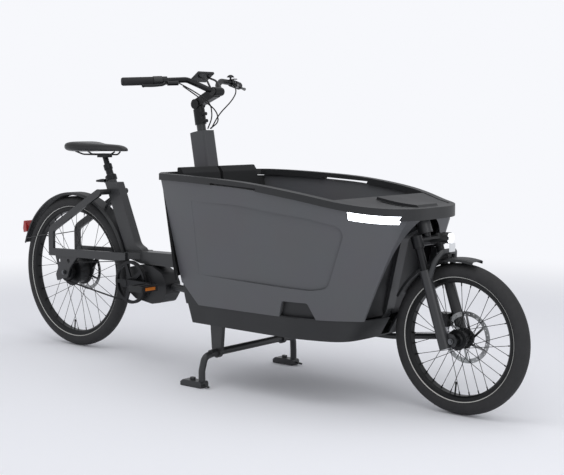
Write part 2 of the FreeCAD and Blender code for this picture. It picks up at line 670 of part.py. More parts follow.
def crank_arm(side):
    """One crank arm; the right one points forward and the left one back."""
    way = 1 if side == RIGHT else -1
    centre_y = side * abs(CRANK_ARM_Y)
    far = CRANK_X + way * CRANK_LENGTH
    arm = slab([(CRANK_X, CRANK_Z - 17), (far, CRANK_Z - 12), (far, CRANK_Z + 12),
                (CRANK_X, CRANK_Z + 17)], centre_y - 7, centre_y + 7)
    arm = arm.fuse(across(CRANK_X, CRANK_Z, 17, centre_y - 9, centre_y + 7.5))
    arm = arm.fuse(across(far, CRANK_Z, 12, centre_y - 7, centre_y + 7))
    pedal_hole = across(far, CRANK_Z, 6 + CLEARANCE, centre_y - 8, centre_y + 8)
    return arm.cut(pedal_hole)


def crankset():
    reach = abs(CRANK_ARM_Y)
    spindle = across(CRANK_X, CRANK_Z, SPINDLE_RADIUS, -reach, reach)
    ring_seat_y = BELT_LINE_Y - BELT_WIDTH / 2 - 3
    spacer = ring(CRANK_X, CRANK_Z, 16, SPINDLE_RADIUS - 1, -reach + 6, ring_seat_y)
    return spindle.multiFuse([crank_arm(LEFT), crank_arm(RIGHT), spacer])


def pedal(side):
    """A pedal: its spindle, a ribbed platform with two openings, and a reflector fore and aft."""
    way = 1 if side == RIGHT else -1
    x = CRANK_X + way * CRANK_LENGTH
    inner = abs(CRANK_ARM_Y) + 12
    outer = inner + 92
    y0, y1 = sorted((side * inner, side * outer))
    body = block(x - 40, x + 40, y0, y1, CRANK_Z - 12, CRANK_Z + 12)
    body = soften(body, 6, lambda p, e: abs(abs(p.x - x) - 40) < 0.1 and abs(p.z - CRANK_Z) < 1)
    gap0, gap1 = sorted((side * (inner + 10), side * (outer - 10)))
    for x0, x1 in ((x - 32, x - 11), (x + 11, x + 32)):
        body = body.cut(block(x0, x1, gap0, gap1, CRANK_Z - 20, CRANK_Z + 20))
    s0, s1 = sorted((side * (abs(CRANK_ARM_Y) - 7), side * (inner + 40)))
    body = body.fuse(across(x, CRANK_Z, 6, s0, s1))
    reflectors = []
    for face in (x - 40, x + 40):
        bar = block(face - 2.5, face + 2.5, min(gap0, gap1) + 10, max(gap0, gap1) - 10,
                    CRANK_Z - 6, CRANK_Z + 6)
        body = body.cut(bar)
        reflectors.append(bar)
    return [body] + reflectors


def sprocket():
    """The rear belt pulley on its freewheel, running on the hub's axle."""
    y0, y1 = BELT_LINE_Y - BELT_WIDTH / 2, BELT_LINE_Y + BELT_WIDTH / 2
    wheel = toothed(REAR_AXLE, SPROCKET_RADIUS, BELT_TEETH_REAR, y0, y1)
    flange = across(REAR_AXLE.x, REAR_AXLE.z, SPROCKET_RADIUS + 2, y1, y1 + 2)
    neck = across(REAR_AXLE.x, REAR_AXLE.z, 18, y1 + 1, -REAR_FLANGE_SPACING / 2 - 8 - CLEARANCE)
    shape = wheel.fuse(flange).fuse(neck)
    return shape.cut(across(REAR_AXLE.x, REAR_AXLE.z, AXLE_RADIUS + CLEARANCE, -100, 0))


def make_drive():
    save("belt", belt())
    save("chainring", chainring())
    save("crankset", crankset())
    save("sprocket", sprocket())
    save("pedal_right", *pedal(RIGHT))
    save("pedal_left", *pedal(LEFT))


# ---- cargo box ----------------------------------------------------------------------------
def box_outline(points, z, inset, fade=0):
    """A closed plan outline: a smooth curve round the sides and nose, straight across the rear."""
    half = []
    for x, width in points:
        depth = inset
        if fade:
            depth = inset * min(1, max(0, (x - 1020) / fade))
        half.append((x - inset if width < 150 else x, max(0, width - depth)))
    right = [V(x, -y, z) for x, y in half]
    left = [V(x, y, z) for x, y in reversed(half[:-1])]
    curve = Part.BSplineCurve()
    count = len(right) + len(left)
    curve.interpolate(Points=right + left, Parameters=[i / (count - 1) for i in range(count)])
    side = curve.toShape()
    back = Part.LineSegment(left[-1], right[0]).toShape()
    return Part.Wire([side, back])


def box_hull(inset, fade=0):
    """The solid that the box's side surface encloses, drawn in from it by inset."""
    low = box_outline(LOW_OUTLINE, BASE_TOP_Z, inset, fade)
    high = box_outline(HIGH_OUTLINE, PANEL_TOP_Z, inset, fade)
    return Part.makeLoft([low, high], True, True)


def rim_z(x):
    """The height of the rim's top at x."""
    for (x0, z0), (x1, z1) in zip(RIM_LINE, RIM_LINE[1:]):
        if x <= x1:
            return z0 + (z1 - z0) * (x - x0) / (x1 - x0)
    return RIM_LINE[-1][1]


def rim_band(drop_top, drop_bottom):
    """A slab that follows the rim's falling line, between two distances below its top."""
    def line(drop, reverse):
        points = [V(x, -500, z - drop) for x, z in RIM_LINE]
        curve = Part.BSplineCurve()
        curve.interpolate(points[::-1] if reverse else points)
        return curve, (points[::-1] if reverse else points)

    upper, top_points = line(drop_top, False)
    lower, low_points = line(drop_bottom, True)
    wire = Part.Wire([upper.toShape(), Part.LineSegment(top_points[-1], low_points[0]).toShape(),
                      lower.toShape(), Part.LineSegment(low_points[-1], top_points[0]).toShape()])
    return Part.Face(wire).extrude(V(0, 1000, 0))


def front_cut(back=0):
    """Everything ahead of the panels' slanted front edge, moved back by back."""
    return slab([(1692 - back, 300), (1990 - back, 1000), (2400, 1000), (2400, 300)], -500, 500)


def rear_cut():
    """Everything behind the panels' leaning rear edge and the chamfer at their foot."""
    return slab([(820, 900), (934, 300), (600, 300), (600, 900)], -500, 500)


def side_panels():
    """The two outer panels with their pressed field, step notch and lamp recess."""
    shell = box_hull(0).cut(box_hull(PANEL_WALL))
    shell = shell.cut(rim_band(-400, RIM_HEIGHT)).cut(front_cut()).cut(rear_cut())
    chamfer = slab([(800, 395), (924, 389), (1006, 305), (800, 305)], -500, 500)
    shell = shell.cut(chamfer)
    field = slab([(1020, 706), (1261, 700), (1560, 668), (1690, 640), (1604, 424), (1540, 414),
                  (1020, 430)], -500, 500, [0, 200, 300, 34, 44, 60, 0])
    skin = box_hull(-1).cut(box_hull(PRESSING_DEPTH, 280)).common(field)
    shell = shell.cut(skin)
    notch = slab([(1398, 300), (1420, 368), (1524, 368), (1554, 300)], -500, 500, [0, 10, 10, 0])
    shell = shell.cut(notch)
    lamp_zone = rim_band(RIM_HEIGHT + 3, RIM_HEIGHT + 30)
    lamp_zone = lamp_zone.common(slab([(1702, 600), (1702, 760), (1878, 760), (1810, 600)],
                                      -500, 500))
    deep = box_hull(-1).cut(box_hull(PANEL_WALL - 3))
    lamps = shell.common(lamp_zone).common(deep)
    shell = shell.cut(lamp_zone.common(deep))
    halves = [shell.common(block(600, 2400, 0.5, 600, 0, 1200)),
              shell.common(block(600, 2400, -600, -0.5, 0, 1200))]
    return halves, lamps


def base_tray():
    """The black tub under the panels: a tray whose corners follow the low outline."""
    low = [(952, 246), (1377, 266), (1494, 260), (1590, 236), (1640, 200), (1658, 140),
           (1664, 0)]
    high = [(940, 258), (1377, 270), (1500, 260), (1604, 226), (1656, 190), (1690, 136),
            (1708, 0)]
    bottom = box_outline(low, BASE_BOTTOM_Z, 0)
    top = box_outline(high, BASE_TOP_Z, 0)
    body = Part.makeLoft([bottom, top], True, True)
    inner_low = box_outline([(x + (14 if x < 1000 else 0), max(0, y - 8)) for x, y in low],
                            BASE_BOTTOM_Z + BASE_WALL, 8)
    inner_high = box_outline([(x + (14 if x < 1000 else 0), max(0, y - 8)) for x, y in high],
                             BASE_TOP_Z, 8)
    tray = body.cut(Part.makeLoft([inner_low, inner_high], True, True))
    wedge = slab([(932, BASE_TOP_Z - 60), (926, 384), (1000, BASE_TOP_Z + 0.2),
                  (1000, BASE_TOP_Z - 60)], -500, 500)
    corners = box_hull(1).cut(box_hull(12)).common(wedge)
    steps = slab([(1399, BASE_TOP_Z - 2), (1421, 367), (1523, 367), (1553, BASE_TOP_Z - 2)],
                 -500, 500, [0, 10, 10, 0])
    steps = box_hull(PANEL_WALL + 6).cut(box_hull(PANEL_WALL + 14)).common(steps)
    ledge = box_hull(1).cut(box_hull(PANEL_WALL + 14)).common(
        block(1399, 1553, -500, 500, BASE_TOP_Z - 1, BASE_TOP_Z + 3))
    tray = tray.multiFuse([corners, steps, ledge])
    channel = block(800, 956, -30, 30, BASE_BOTTOM_Z + BASE_WALL, BASE_TOP_Z + 20)
    nose = block(1600, 1760, -26, 26, BASE_BOTTOM_Z + BASE_WALL, BASE_TOP_Z + 20)
    return tray.cut(channel).cut(nose)


def battery():
    """The battery pack, flat in the tub beside the chassis beam."""
    pack = block(1120, 1500, 40, 200, BASE_BOTTOM_Z + BASE_WALL, BASE_TOP_Z - 12)
    return soften(pack, 8, lambda p, e: abs(p.x - 1310) > 189)


def box_rim():
    """The rim: a band that follows the box's outline, with a handhold cut in each side."""
    points = []
    for (x0, w0), (x1, w1) in zip(LOW_OUTLINE, HIGH_OUTLINE):
        t = (rim_z(x1) - BASE_TOP_Z) / (PANEL_TOP_Z - BASE_TOP_Z)
        points.append((x0 + (x1 - x0) * t, w0 + (w1 - w0) * t))
    outer = plan_with_corners(points, RIM_OVERHANG)
    inner = plan_with_corners(points, RIM_OVERHANG - RIM_BREADTH)
    band = outer.cut(inner).common(rim_band(0, RIM_HEIGHT))
    grip = slab([(1160, 700), (1138, 776), (1360, 764), (1330, 700)], 250, 500)
    return band.cut(grip).cut(mirrored(grip)), outer


def plan_with_corners(points, grow):
    """The rim's plan, grown outwards, with its rear corners cut off round the column's deck."""
    half = [(x + (grow if width < 150 else 0), width + grow) for x, width in points]
    half[-1] = (half[-1][0], 0)
    right = [V(x, -y, 600) for x, y in half]
    left = [V(x, y, 600) for x, y in reversed(half[:-1])]
    curve = Part.BSplineCurve()
    curve.interpolate(right + left)
    rear_x = 750 - grow
    corner_y = 200 + grow / 2
    rear = [left[-1], V(rear_x, corner_y, 600), V(rear_x, -corner_y, 600), right[0]]
    lines = [Part.LineSegment(a, b).toShape() for a, b in zip(rear, rear[1:])]
    return Part.Face(Part.Wire([curve.toShape()] + lines)).extrude(V(0, 0, 300))


def front_hood(outer):
    """The cover over the nose with its raised pad and two slots, and the wheel-well shroud."""
    nose = outer.common(block(1640, 2000, -500, 500, 500, 900))
    rim_hole = RIM_OVERHANG - RIM_BREADTH
    top = nose.common(rim_band(2, 9)).common(block(1640, 2000, -400, 400, 500, 900))
    top = top.common(box_hull(-rim_hole + 0.5).common(block(1640, 2000, -400, 400, 300, 798)))
    skirt_zone = outer.common(rim_band(RIM_HEIGHT, HOOD_SKIRT)).common(front_cut(6))
    inside = box_hull(14)
    skirt = skirt_zone.cut(inside)
    pad = slab([(1660, 700), (1676, 742), (1836, 714), (1850, 700)], -62, 62).common(
        rim_band(-7, 6))
    slot = slab([(1700, 650), (1700, 760), (1800, 760), (1800, 650)], 74, 88)
    hood = top.multiFuse([skirt, pad]).cut(slot).cut(mirrored(slot))
    well = slab([(1668, 313), (1746, 662), (1754, 662), (1676, 313)], -500, 500)
    shroud = well.common(box_hull(PANEL_WALL + 0.3))
    shroud = shroud.cut(block(1600, 1900, -26, 26, 300, 700))
    return hood, shroud


def housing_room():
    """The room that the column's housing takes in the deck and the rim."""
    half_x, half_y = HOUSING_LENGTH / 2 + 0.5, HOUSING_WIDTH / 2 + 0.5
    room = block(COLUMN_POINT.x - half_x, COLUMN_POINT.x + half_x, -half_y, half_y, 600, 1000)
    return leaning(room, COLUMN_POINT, COLUMN_LEAN)


def box_liner():
    """The box's inside: its floor, the leaning rear wall, and the bulkhead before the column."""
    inner = box_hull(PANEL_WALL + 0.5)
    floor = plan([(950, -248), (950, 248), (1640, 200), (1640, -200)], BASE_TOP_Z + 0.2,
                 BASE_TOP_Z + LINER_WALL, [20, 20, 60, 60]).common(inner)
    rear = slab([(748, 775), (756, 775), (822, 400), (814, 400)], -196, 196)
    corner = 196
    wings = []
    for side in SIDES:
        wing = plan([(748, side * corner), (756, side * (corner - 8)), (848, side * 288),
                     (846, side * 298)], 400, 775)
        wing = wing.transformGeometry(FreeCAD.Matrix(1, 0, -0.176, 0.176 * 775, 0, 1, 0, 0,
                                                     0, 0, 1, 0, 0, 0, 0, 1))
        wings.append(wing)
    bulkhead = slab([(868, 768), (876, 768), (952, 316.2), (944, 316.2)], -246, 246)
    deck = block(757, 866, -186, 186, 762, 768)
    beam_room = block(700, 960, -BEAM_WIDTH / 2 - 3, BEAM_WIDTH / 2 + 3, 240, BEAM_TOP_Z + 3)
    solids = [floor, rear.fuse(wings[0]).fuse(wings[1]), bulkhead, deck.cut(housing_room())]
    return [solid.cut(beam_room) for solid in solids]


def bench():
    """The children's bench behind the bulkhead: two backrests and one folding seat."""
    backs = []
    for y0, y1 in ((-214, -8), (8, 214)):
        back = slab([(880, 470), (918, 476), (878, 800), (862, 822), (846, 822), (846, 800)],
                    y0, y1, [6, 10, 12, 8, 6, 4])
        back = back.cut(slab([(868, 770), (878, 770), (954, 314), (700, 314), (700, 770)],
                             -300, 300))
        backs.append(back)
    seat = slab([(925, 482), (1160, 488), (1172, 466), (1160, 448), (932.2, 440)], -220, 220,
                [3, 10, 8, 10, 3])
    return backs, seat


def steering_housing():
    """The rounded square casing that stands on the deck round the steering column."""
    half_x, half_y = HOUSING_LENGTH / 2, HOUSING_WIDTH / 2
    x, z = COLUMN_POINT.x, COLUMN_POINT.z
    low, high = 700, HOUSING_TOP_Z + 2
    corners = [(x - half_x, -half_y), (x - half_x, half_y), (x + half_x, half_y),
               (x + half_x, -half_y)]
    shell = plan(corners, low, high, 14)
    wall = 5
    inner = [(a + math.copysign(wall, x - a), b - math.copysign(wall, b)) for a, b in corners]
    shell = shell.cut(plan(inner, low - 1, high - 8, 9))
    crown = across(x, z + 74 - 400, 400, -100, 100)
    shell = shell.common(crown)
    shell = leaning(shell, COLUMN_POINT, COLUMN_LEAN)
    return shell.cut(rod(at_height(COLUMN_POINT, COLUMN_AXIS, 600),
                         at_height(COLUMN_POINT, COLUMN_AXIS, 1000), COLUMN_RADIUS + 9))


def steering_bearings():
    """Rings that carry the column in the frame and the fork's steerer in the head tube."""
    rings = []
    for z in (300, 500):
        start = at_height(COLUMN_POINT, COLUMN_AXIS, z)
        rings.append(tube(start, start + COLUMN_AXIS * 12, COLUMN_RADIUS + 4, COLUMN_RADIUS
                          + CLEARANCE))
    for z in (HEAD_TUBE_BOTTOM_Z + 2, HEAD_TUBE_TOP_Z - 14):
        start = at_height(LEG_FOOT, FORK_AXIS, z)
        rings.append(tube(start, start + FORK_AXIS * 10, HEAD_TUBE_RADIUS - 4, 15 + CLEARANCE))
    return rings


def make_box():
    frame = main_frame()[0]
    halves, lamps = side_panels()
    save("left_side_panel", halves[0])
    save("right_side_panel", halves[1])
    save("box_lamps", lamps)
    save("base_tray", base_tray().cut(frame).cut(halves[0]).cut(halves[1]))
    save("battery", battery())
    rim_shape, outer = box_rim()
    rim_shape = rim_shape.cut(housing_room())
    save("box_rim", rim_shape)
    hood, shroud = front_hood(outer)
    hood = hood.cut(rim_shape).cut(halves[0]).cut(halves[1]).cut(frame)
    save("front_hood", hood, shroud.cut(frame))
    save("box_liner", *[solid.cut(frame) for solid in box_liner()])
    backs, seat = bench()
    save("bench_backrests", *backs)
    save("bench_seat", seat)
    save("steering_housing", steering_housing())
    save("steering_bearings", *steering_bearings())


# ---- steering -----------------------------------------------------------------------------
def ahead_of(axis):
    """The forward way that stands square on a leaning axis."""
    return V(axis.z, 0, -axis.x)


def rod_joint():
    """The steering rod's rear ball joint, on the column's arm."""
    column_foot = at_height(COLUMN_POINT, COLUMN_AXIS, ROD_REAR_Z)
    return column_foot + ahead_of(COLUMN_AXIS) * LINK_ARM_X + V(0, LINK_ARM_Y, 0)


def rod_end():
    """The steering rod's front ball joint, on the fork's left leg."""
    leg = at_height(LEG_FOOT, FORK_AXIS, ROD_FRONT_Z)
    return leg + ahead_of(FORK_AXIS) * LINK_ARM_X + V(0, LINK_ARM_Y, 0)


def steering_column():
    """The column from its foot under the box to the stem, with the arm that moves the rod."""
    low = at_height(COLUMN_POINT, COLUMN_AXIS, ROD_REAR_Z - 12)
    high = at_height(COLUMN_POINT, COLUMN_AXIS, 1040)
    column = tube(low, high, COLUMN_RADIUS, COLUMN_RADIUS - 4)
    foot = at_height(COLUMN_POINT, COLUMN_AXIS, ROD_REAR_Z + 18)
    arm = plan([(-20, -20), (-30, 20), (LINK_ARM_X - 12, LINK_ARM_Y + 12),
                (LINK_ARM_X + 12, LINK_ARM_Y + 12), (20, 20), (20, -20)], 0, 8,
               [14, 10, 10, 10, 10, 14])
    arm = leaning(arm, V(0, 0, 0), COLUMN_LEAN)
    arm.translate(foot)
    stud = rod(rod_joint(), rod_joint() + COLUMN_AXIS * 22, 5)
    bore = rod(low - COLUMN_AXIS, foot + COLUMN_AXIS * 30, COLUMN_RADIUS - 4)
    return column.fuse(arm).cut(bore).fuse(stud)


def rod_yoke():
    """The cross-piece of the rear ball joint: it turns on the stud and lets the rod tilt."""
    centre = rod_joint()
    body = rod(centre - COLUMN_AXIS * 2, centre + COLUMN_AXIS * 12, 9)
    body = body.cut(rod(centre - COLUMN_AXIS * 30, centre + COLUMN_AXIS * 30, 5 + CLEARANCE))
    pin_low = centre + COLUMN_AXIS * 5
    ears = across(pin_low.x, pin_low.z, 4, centre.y + 7, centre.y + 22)
    ears = ears.fuse(across(pin_low.x, pin_low.z, 4, centre.y - 22, centre.y - 7))
    return body.fuse(ears.cut(rod(centre - COLUMN_AXIS * 30, centre + COLUMN_AXIS * 30, 7)))


def steering_rod():
    """The bar under the box, forked at the rear round its yoke, with an eye at the fork."""
    rear, front = rod_joint() + COLUMN_AXIS * 5, rod_end()
    points = [rear + V(34, 0, 0), V(1330, LINK_ARM_Y, ROD_REAR_Z + 4),
              V(1620, LINK_ARM_Y, ROD_REAR_Z + 8), front - V(14, 0, 0)]
    bar = pipe(points, ROD_RADIUS, [0, 900, 300, 0])
    cheeks = []
    for side in SIDES:
        y0, y1 = sorted((rear.y + side * 13, rear.y + side * 19))
        cheek = block(rear.x - 9, rear.x + 42, y0, y1, rear.z - 9, rear.z + 9)
        cheeks.append(cheek.cut(across(rear.x, rear.z, 4 + CLEARANCE, y0, y1)))
    root = block(rear.x + 30, rear.x + 42, rear.y - 19, rear.y + 19, rear.z - 9, rear.z + 9)
    eye = rod(front - FORK_AXIS * 9, front + FORK_AXIS * 9, 17)
    shape = bar.multiFuse(cheeks + [root, eye])
    return shape.cut(rod(front - FORK_AXIS * 30, front + FORK_AXIS * 30, 12.5))


def clamp_angle():
    """How far the bar clamp lies ahead of the column, seen along Y."""
    return at_height(COLUMN_POINT, COLUMN_AXIS, 1066)


def stem():
    """The adjustable stem: a sleeve on the column, a riser and a forward arm to the bar."""
    low = at_height(COLUMN_POINT, COLUMN_AXIS, 985)
    high = at_height(COLUMN_POINT, COLUMN_AXIS, 1046)
    sleeve = tube(low, high, COLUMN_RADIUS + 5, COLUMN_RADIUS)
    neck = rod(high - COLUMN_AXIS * 2, clamp_angle(), COLUMN_RADIUS + 1)
    joint = across(clamp_angle().x, clamp_angle().z, 20, -22, 22)
    arm = slab([(clamp_angle().x - 6, clamp_angle().z - 17), (clamp_angle().x - 8,
                clamp_angle().z + 17), (BAR_CLAMP.x - 6, BAR_CLAMP.z + 19),
                (BAR_CLAMP.x + 6, BAR_CLAMP.z - 19)], -17, 17, [8, 8, 6, 6])
    clamp = across(BAR_CLAMP.x, BAR_CLAMP.z, BAR_RADIUS + 7, -21, 21)
    levers = []
    for z in (1000, 1028):
        spot = at_height(COLUMN_POINT, COLUMN_AXIS, z) + V(COLUMN_RADIUS + 6, 0, 0)
        levers.append(across(spot.x, spot.z, 7, -13, 13))
    body = sleeve.multiFuse([neck, joint, arm, clamp] + levers)
    body = body.cut(rod(low - COLUMN_AXIS, high - COLUMN_AXIS * 4, COLUMN_RADIUS))
    return body.cut(handlebar_core())


def bar_points(side):
    return [V(x, side * y, z) for y, x, z in BAR_ROUTE]


def handlebar_core(wall=0):
    """The swept-back bar from end to end: solid, or a tube with a wall."""
    points = bar_points(RIGHT)[:0:-1] + bar_points(LEFT)[1:]
    return pipe(points, BAR_RADIUS, [0, 120, 44, 30, 40, 40, 30, 44, 120, 0], wall)


def bar_end(side, distance):
    """The point on the grip's straight run at a distance from the bar's end, and its way out."""
    points = bar_points(side)
    out = (points[-1] - points[-2]).normalize()
    return points[-1] - out * distance, out


def on_bar(side, start, length, radius, bore):
    """A sleeve on the bar's outer run, from start to start + length in from the bar's end."""
    point, out = bar_end(side, start)
    return tube(point - out * length, point, radius, bore)


def grips():
    sleeves = []
    for side in SIDES:
        sleeve = on_bar(side, 0, GRIP_LENGTH, GRIP_RADIUS, BAR_RADIUS)
        tip, out = bar_end(side, 0)
        cap = rod(tip, tip + out * 4, GRIP_RADIUS - 2)
        sleeves.append(sleeve.cut(handlebar_core()).fuse(cap))
    return sleeves


def twist_shifter():
    return on_bar(RIGHT, GRIP_LENGTH + 1, 34, GRIP_RADIUS + 2, BAR_RADIUS + CLEARANCE)


def brake_masters():
    """Both brake clamps with their master cylinders ahead of the bar."""
    bodies = []
    for side in SIDES:
        start = GRIP_LENGTH + 37
        clamp = on_bar(side, start, 18, BAR_RADIUS + 5, BAR_RADIUS)
        middle, out = bar_end(side, start + 9)
        ahead = V(0.72, 0, -0.30).normalize()
        seat = middle + ahead * MASTER_REACH
        cylinder = rod(seat - out * 34, seat + out * 8, 9)
        neck = rod(middle + ahead * (BAR_RADIUS + 3), seat, 7)
        bolt = rod(seat + out * 8, seat + out * 17.2, 2)
        pivot_bore = rod(seat + out * 2, seat + out * 5, 2)
        bodies.append(clamp.fuse(neck).fuse(cylinder).cut(pivot_bore)
                      .cut(handlebar_core()).fuse(bolt))
    return bodies


def brake_lever(side):
    """A two-finger lever, pivoted at its master and lying ahead of the grip."""
    middle, out = bar_end(side, GRIP_LENGTH + 46)
    ahead = V(0.72, 0, -0.30).normalize()
    root = middle + ahead * MASTER_REACH + out * 18
    points = [root, root + out * 18 + ahead * 14, root + out * 60 + ahead * 20,
              root + out * 96 + ahead * 18]
    blade = pipe(points, 5, [0, 16, 60, 0])
    return blade.fuse(Part.makeSphere(6.5, points[-1])).fuse(rod(root - out * 0.5, root + out * 6,
                                                                 7)).cut(
        rod(root - out * 20, root - out * 0.5, 9))


def display():
    """The tilted display on its two legs above the stem."""
    corners = [V(747, 0, 1160), V(797, 0, 1195), V(803, 0, 1187), V(753, 0, 1152)]
    screen = slab([(p.x, p.z) for p in corners], -43, 43, 3)
    legs = []
    for side in SIDES:
        foot = V(BAR_CLAMP.x, side * 26, BAR_CLAMP.z)
        collar = across(foot.x, foot.z, BAR_RADIUS + 4.5, side * 26 - 4, side * 26 + 4)
        leg = pipe([foot + V(-6, 0, 10), V(826, side * 26, 1158), V(782, side * 26, 1172)], 4,
                   [0, 18, 0])
        legs.append(collar.fuse(leg))
    shape = screen.fuse(legs[0]).fuse(legs[1])
    return shape.cut(handlebar_core())


def bell():
    """A small dome bell on the left of the bar, with a post for its thumb lever."""
    middle, out = bar_end(LEFT, GRIP_LENGTH + 74)
    clamp = on_bar(LEFT, GRIP_LENGTH + 70, 8, BAR_RADIUS + 3, BAR_RADIUS)
    seat = middle + V(0, 0, BAR_RADIUS + 2)
    post = rod(seat, seat + V(0, 0, 8), 4)
    dome = Part.makeSphere(17, seat + V(0, 0, 2)).common(
        block(seat.x - 20, seat.x + 20, seat.y - 20, seat.y + 20, seat.z + 8, seat.z + 30))
    return clamp.fuse(post).fuse(dome).cut(handlebar_core())


def bell_lever():
    middle, out = bar_end(LEFT, GRIP_LENGTH + 74)
    foot = middle + V(22, 0, BAR_RADIUS + 2)
    return block(foot.x - 8, foot.x + 2, foot.y - 3, foot.y + 14, foot.z - 1, foot.z + 3)


def hose_routes():
    """The two brake hoses and the shifter's cable, from the bar to the housing's top."""
    ahead = V(0.72, 0, -0.30).normalize()
    left, left_out = bar_end(LEFT, GRIP_LENGTH + 46)
    right, right_out = bar_end(RIGHT, GRIP_LENGTH + 46)
    left_start = left + ahead * MASTER_REACH - left_out * 37
    right_start = right + ahead * MASTER_REACH - right_out * 37
    mouth = V(COLUMN_POINT.x + 18, 0, HOUSING_TOP_Z + 5)
    return [
        [left_start, V(852, 118, 1112), V(872, 68, 1078), V(846, 20, 1024), mouth + V(10, 12, 6)],
        [right_start, V(856, -118, 1108), V(884, -66, 1068), V(852, -24, 1012),
         mouth + V(10, -8, 6)],
        [right_start + V(14, 8, -12), V(872, -100, 1080), V(894, -44, 1040), V(862, 2, 994),
         mouth + V(14, 2, 6)]]


def control_cables():
    pipes = []
    for points in hose_routes():
        runs = [(b - a).Length for a, b in zip(points, points[1:])]
        radii = [0]
        for i in range(1, len(points) - 1):
            turn = (points[i] - points[i - 1]).getAngle(points[i + 1] - points[i])
            radii.append(0.45 * min(runs[i - 1], runs[i]) / math.tan(turn / 2))
        radii.append(0)
        print("hose bends", [round(r) for r in radii[1:-1]])
        pipes.append(pipe(points, 2.5, radii))
    return pipes


def make_steering():
    save("steering_column", steering_column())
    save("rod_yoke", rod_yoke())
    save("steering_rod", steering_rod())
    save("stem", stem())
    save("handlebar", handlebar_core(2.2))
    save("grips", *grips())
    save("twist_shifter", twist_shifter())
    save("brake_masters", *brake_masters())
    save("brake_lever_right", brake_lever(RIGHT))
    save("brake_lever_left", brake_lever(LEFT))
    save("display", display())
    save("bell", bell())
    save("bell_lever", bell_lever())
    save("control_cables", *control_cables())


# ---- fork ---------------------------------------------------------------------------------
def leg_point(side, z):
    return at_height(LEG_FOOT, FORK_AXIS, z) + V(0, side * FORK_LEG_Y, 0)


def fork_crown():
    """The steerer, the crown and the two stanchions that slide in the lower legs."""
    steerer = rod(at_height(LEG_FOOT, FORK_AXIS, 596), at_height(LEG_FOOT, FORK_AXIS, 690), 15)
    crown = rod(leg_point(LEFT, 588), leg_point(RIGHT, 588), 17)
    pieces = [crown]
    for side in SIDES:
        pieces.append(rod(leg_point(side, 566), leg_point(side, 606), 20))
        pieces.append(rod(leg_point(side, 400), leg_point(side, 600), STANCHION_RADIUS))
    return steerer.multiFuse(pieces)


def fork_lowers():
    """The magnesium lower legs, the arch over the wheel and the rod's stud."""
    legs = []
    for side in SIDES:
        leg = rod(leg_point(side, 232), leg_point(side, 492), FORK_LEG_RADIUS)
        inner = side * FRONT_DROPOUT_SPACING / 2
        y0, y1 = sorted((inner, side * (FRONT_DROPOUT_SPACING / 2 + 10)))
        tab = slab([(1938, 236), (1932, 288), (1984, 282), (1998, 262), (1990, 240)], y0, y1,
                   [8, 8, 12, 12, 12])
        legs.append(leg.fuse(tab))
    arch_points = [leg_point(LEFT, 470) + V(12, 0, 0), V(1912, FORK_LEG_Y - 4, 526),
                   V(1926, FORK_LEG_Y - 26, ARCH_Z), V(1926, 26 - FORK_LEG_Y, ARCH_Z),
                   V(1912, 4 - FORK_LEG_Y, 526), leg_point(RIGHT, 470) + V(12, 0, 0)]
    arch = pipe(arch_points, 10, [0, 30, 18, 18, 30, 0])
    stud_top = rod_end() + FORK_AXIS * 28
    stud = rod(rod_end() - FORK_AXIS * 14, stud_top, 7 - 2 * CLEARANCE)
    bracket = rod(stud_top - FORK_AXIS * 2, leg_point(LEFT, stud_top.z + 4), 8)
    disc_y = FRONT_DROPOUT_SPACING / 2 - 11
    shape = legs[0].multiFuse([legs[1], arch, stud, bracket])
    for side in SIDES:
        shape = shape.cut(rod(leg_point(side, 330), leg_point(side, 520), STANCHION_RADIUS
                              + CLEARANCE))
    shape = shape.cut(across(FRONT_AXLE.x, FRONT_AXLE.z, AXLE_RADIUS, -100, 100))
    nut_y = FRONT_DROPOUT_SPACING / 2 + 10
    for y0, y1 in ((nut_y, 100), (-100, -nut_y)):
        shape = shape.cut(across(FRONT_AXLE.x, FRONT_AXLE.z, AXLE_RADIUS + 5, y0, y1))
    return shape.cut(across(FRONT_AXLE.x, FRONT_AXLE.z, BRAKE_DISC_RADIUS + 3, disc_y - 2,
                            disc_y + 5))


def front_mudguard():
    guard = mudguard(FRONT_AXLE, FRONT_TYRE_RADIUS, 34, -62, 75)
    mount = block(1904, 1932, -12, 12, 530, 552)
    shape = guard.fuse(mount)
    return shape.cut(fork_lowers_room())


def fork_lowers_room():
    return rod(V(1926, -60, ARCH_Z), V(1926, 60, ARCH_Z), 10.3)


def front_caliper():
    disc_y = FRONT_DROPOUT_SPACING / 2 - 11
    body = block(1872, 1912, disc_y - 16, 64, 290, 336)
    slot = across(FRONT_AXLE.x, FRONT_AXLE.z, BRAKE_DISC_RADIUS + 3, disc_y - 1.2, disc_y + 3.2)
    leg = rod(leg_point(LEFT, 200), leg_point(LEFT, 520), FORK_LEG_RADIUS)
    return body.cut(slot).cut(leg)


def headlight():
    """The round headlight on a bent bracket from the crown, with the white reflector below it."""
    lamp = rod(V(1906, 0, 602), V(1934, 0, 602), 19)
    bezel = rod(V(1934, 0, 602), V(1938, 0, 602), 17)
    crown = at_height(LEG_FOOT, FORK_AXIS, 588)
    bracket = pipe([crown + V(15, 0, -2), V(1888, 0, 590), V(1912, 0, 598)], 7, [0, 16, 0])
    socket = rod(leg_point(LEFT, 588), leg_point(RIGHT, 588), 17)
    reflector = block(1938.5, 1944.5, -15, 15, 556, 584.6)
    return [lamp.fuse(bezel).fuse(bracket).cut(socket), reflector]


def make_fork():
    save("fork_crown", fork_crown())
    save("fork_lowers", fork_lowers())
    save("front_mudguard", front_mudguard())
    save("front_caliper", front_caliper())
    save("headlight", *headlight())


